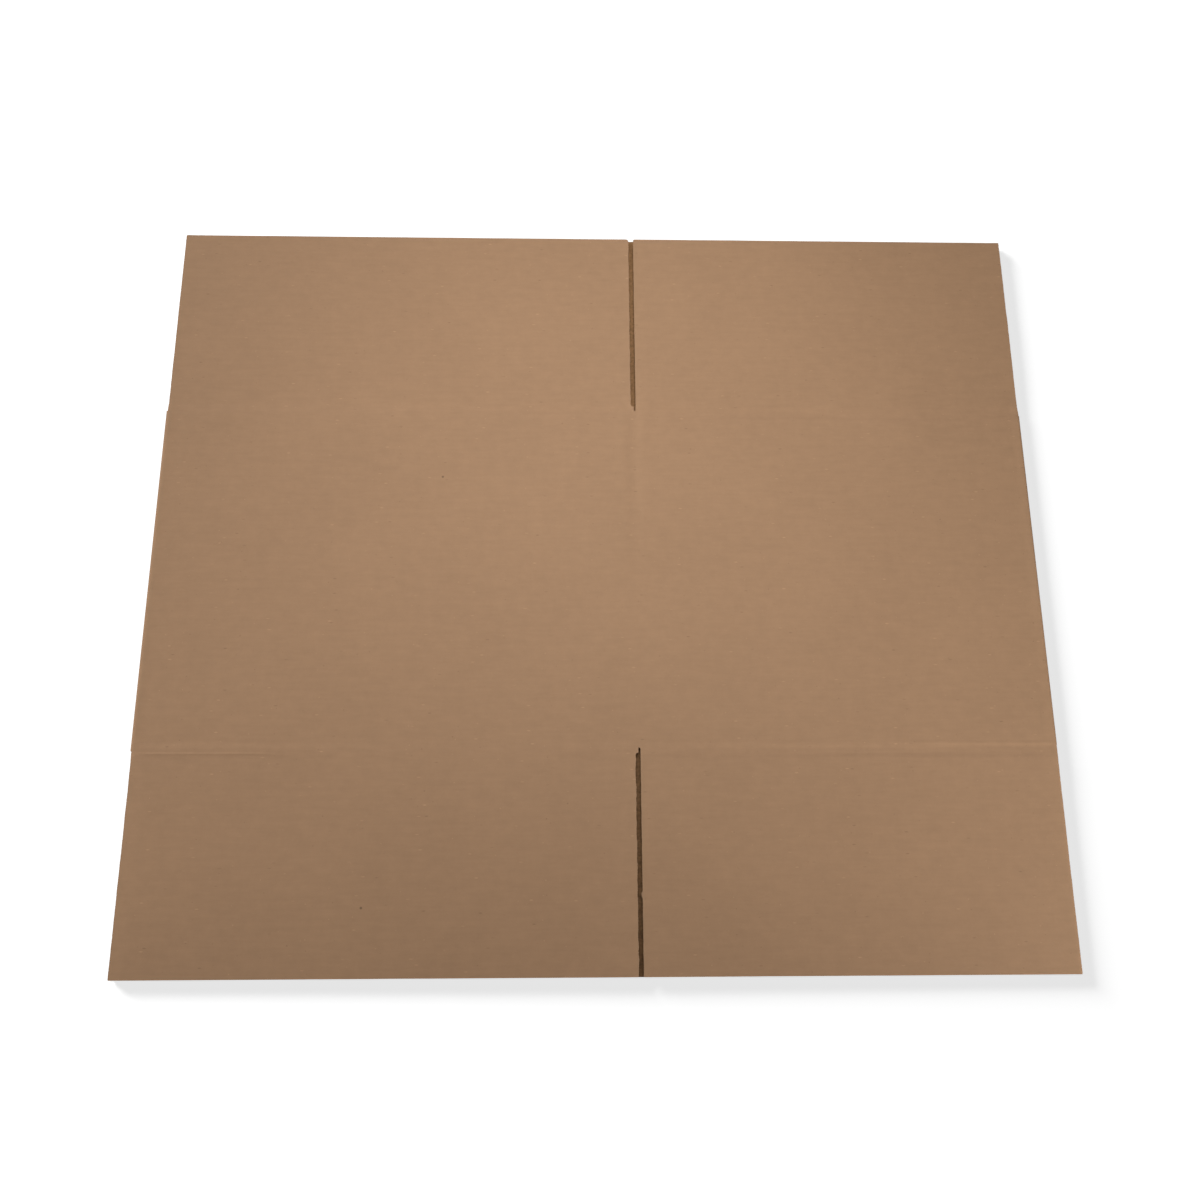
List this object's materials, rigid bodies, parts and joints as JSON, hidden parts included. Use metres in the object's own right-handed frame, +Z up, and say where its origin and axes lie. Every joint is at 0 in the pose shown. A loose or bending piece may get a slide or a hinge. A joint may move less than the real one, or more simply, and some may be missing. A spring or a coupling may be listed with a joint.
{
  "type": "flattened cardboard box",
  "caption": "Plain brown corrugated shipping carton, knocked down flat: slotted flaps, scored panels and a glued seam, stored or stacked until it is set up.",
  "frame": {"origin": "on the floor, under the middle of the folded carton", "axes": "+X across the folded width, +Y along the height of the set-up carton towards the far flaps, +Z up"},
  "size_m": [0.8852, 0.7634, 0.0102],
  "materials": {
    "kraft_board": "matt brown kraft paper, faintly streaked across the flutes"
  },
  "bodies": {
    "root": {"carton": "kraft_board"}
  },
  "joints": []
}
